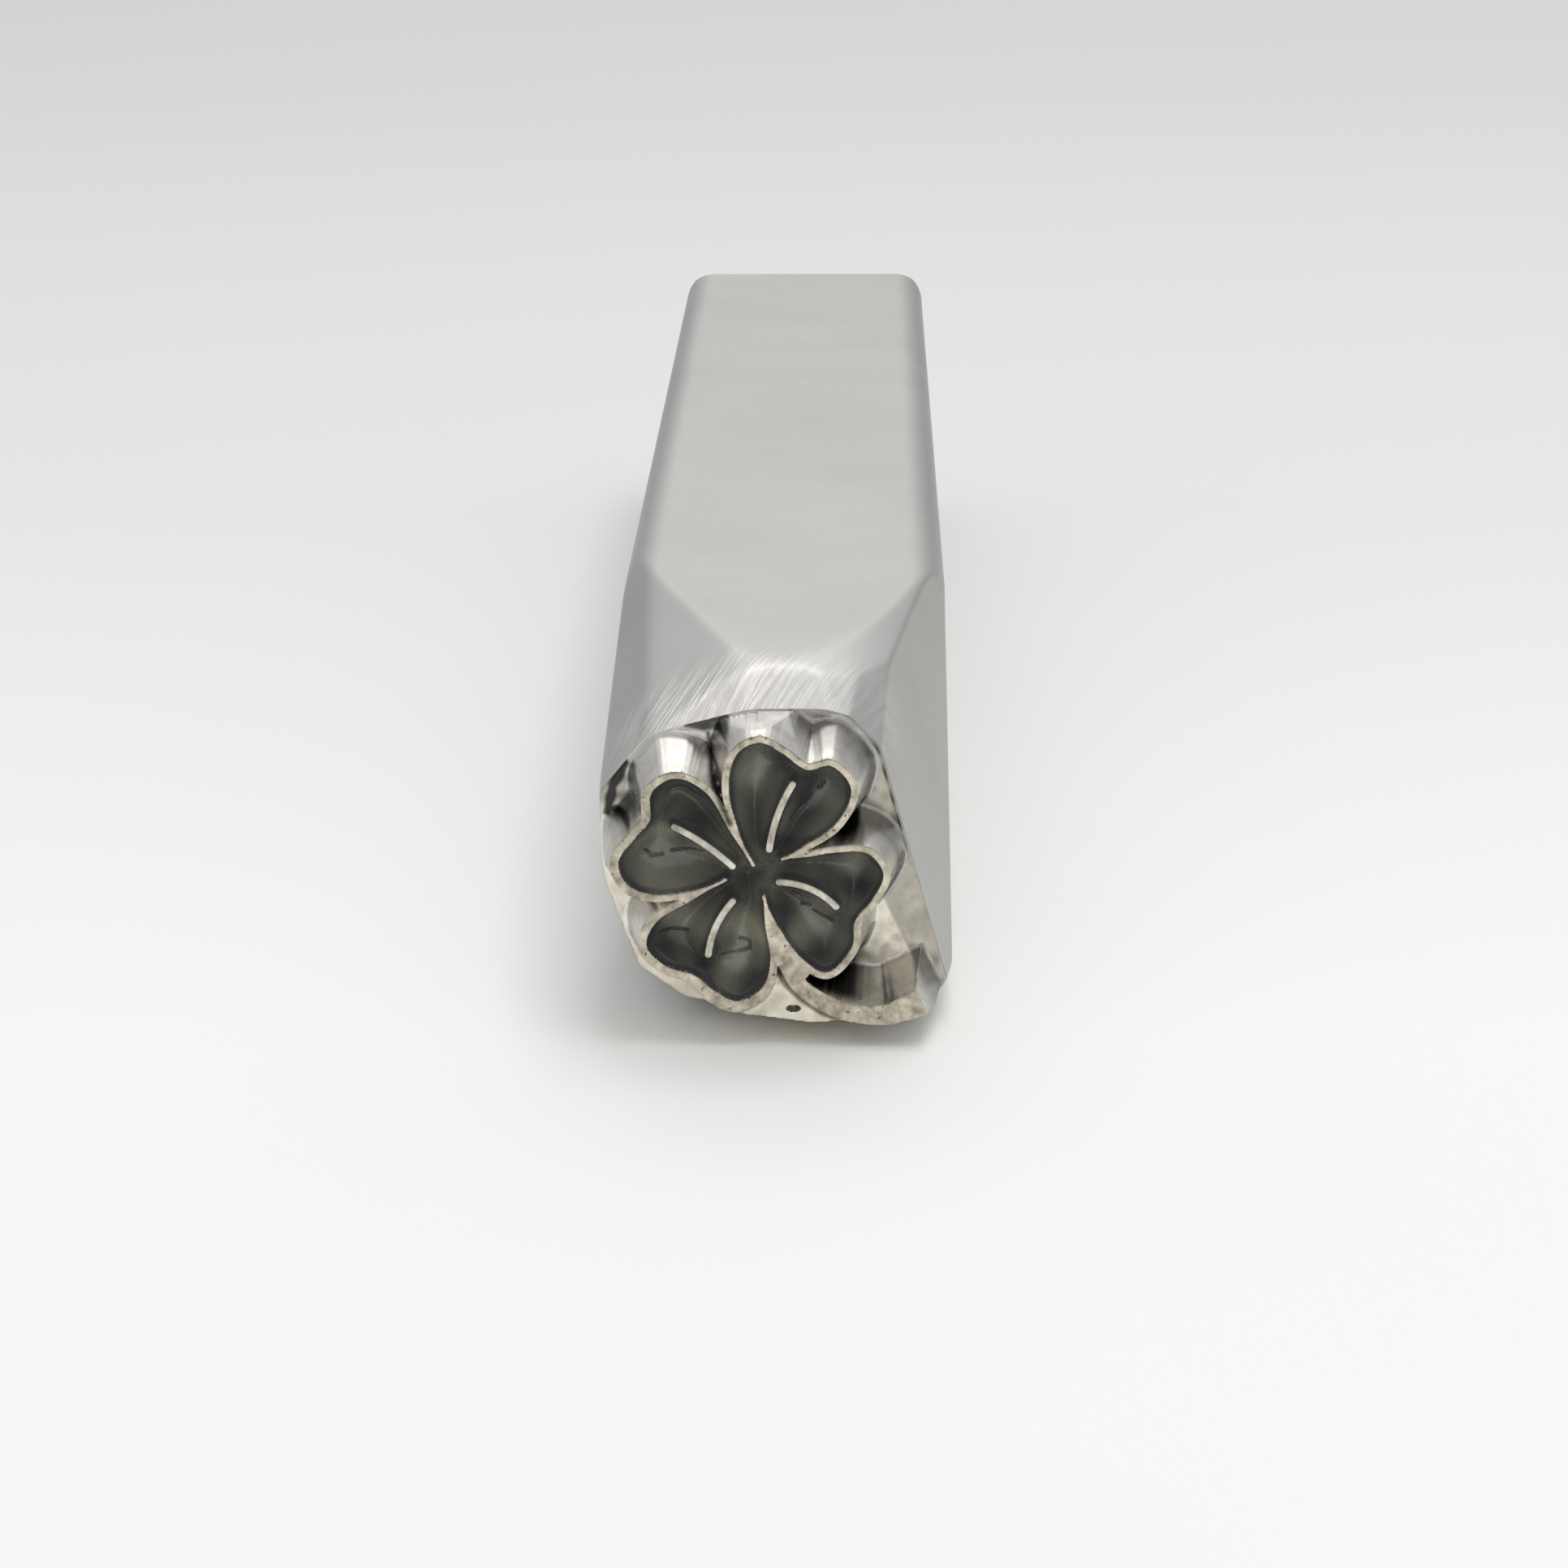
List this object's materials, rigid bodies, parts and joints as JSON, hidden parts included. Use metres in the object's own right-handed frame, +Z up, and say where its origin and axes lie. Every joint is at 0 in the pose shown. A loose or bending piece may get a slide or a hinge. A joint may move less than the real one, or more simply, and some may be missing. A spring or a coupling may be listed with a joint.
{
  "type": "design stamp punch",
  "caption": "Square steel hand stamp that prints a four-leaf clover with a curved stem when its plain end is struck.",
  "frame": {"origin": "middle of the tool's flat underside, halfway along its length, in the plane it rests on", "axes": "+Y along the bar towards the struck end, so the stamping face looks along -Y; +X to the right seen from the stamping face with the tool lying as drawn; +Z up, out of the flat opposite the one it lies on"},
  "size_m": [0.0094, 0.0636, 0.0095],
  "materials": {
    "bar_steel": "satin, drawn along the bar",
    "ground_steel": "ground, with slanting scratches",
    "field_steel": "satin, warm, slightly mottled",
    "relief_steel": "bright, machined",
    "recess_steel": "dark, smooth"
  },
  "bodies": {
    "root": {"shank": "bar_steel", "struck_end": "bar_steel", "nose": "ground_steel", "face_field": "field_steel", "clover_outline": "relief_steel", "stem": "relief_steel", "vein_top": "relief_steel", "vein_right": "relief_steel", "vein_lower": "relief_steel", "vein_left": "relief_steel", "recess_top": "recess_steel", "recess_right": "recess_steel", "recess_lower": "recess_steel", "recess_left": "recess_steel"}
  },
  "joints": []
}
